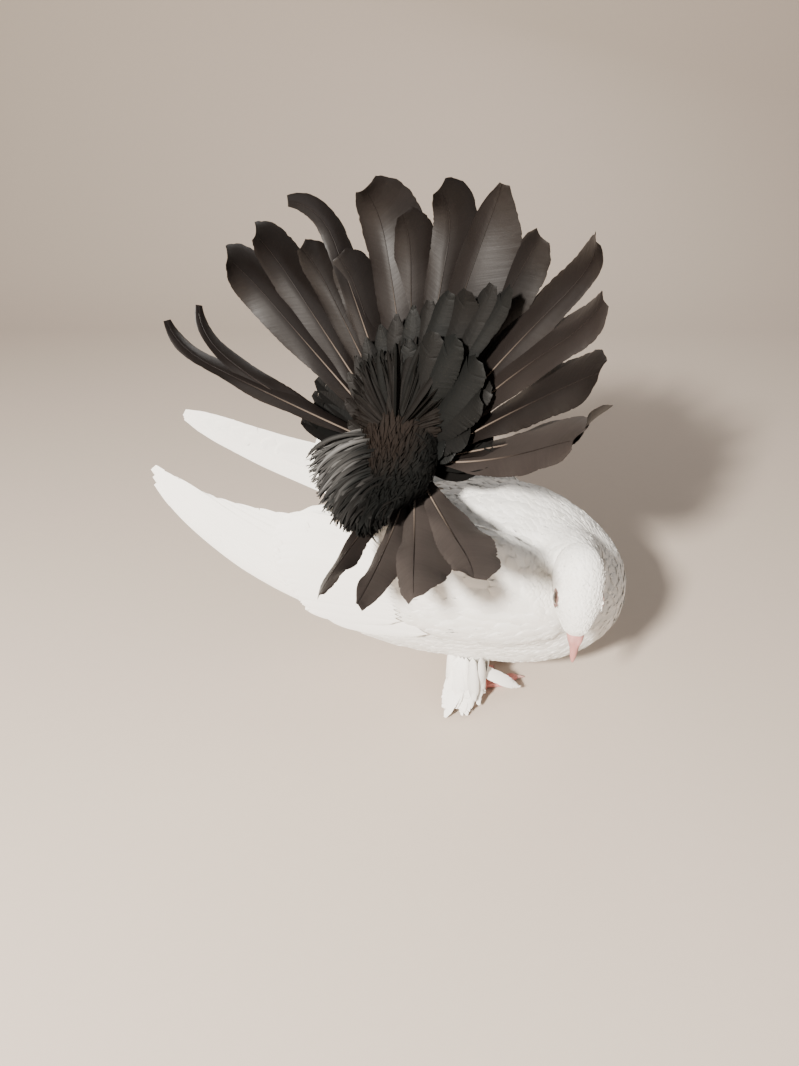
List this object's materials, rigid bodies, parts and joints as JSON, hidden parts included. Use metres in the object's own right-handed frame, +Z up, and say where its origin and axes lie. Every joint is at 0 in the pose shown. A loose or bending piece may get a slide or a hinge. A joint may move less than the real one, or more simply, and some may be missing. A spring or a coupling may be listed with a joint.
{
  "type": "fantail pigeon",
  "caption": "Standing white pigeon with a raised, spread black fan of a tail, long folded wings, feathered feet and the head turned down to one side.",
  "frame": {"origin": "on the floor under the middle of the bird's box, fan and wings included", "axes": "+X the way the breast faces, +Y the bird's left, +Z up"},
  "size_m": [0.2898, 0.224, 0.3152],
  "materials": {
    "white_plumage": "matt white feathering",
    "black_plumage": "brown-black feathering with a faint sheen",
    "bill": "pale pink horn",
    "foot_skin": "scaly pink skin",
    "eye": "wet and glossy"
  },
  "bodies": {
    "root": {"torso": "white_plumage", "neck": "white_plumage", "head": "white_plumage", "eye_right": "eye", "eye_left": "eye", "bill_upper": "bill", "bill_lower": "bill", "tail_base": "black_plumage", "tail_left": "black_plumage", "tail_top_left": "black_plumage", "tail_top_right": "black_plumage", "tail_right": "black_plumage", "tail_lower": "black_plumage", "wing_right": "white_plumage", "wing_left": "white_plumage", "leg_right": "white_plumage", "leg_left": "white_plumage", "foot_right": "foot_skin", "foot_left": "foot_skin"}
  },
  "joints": []
}
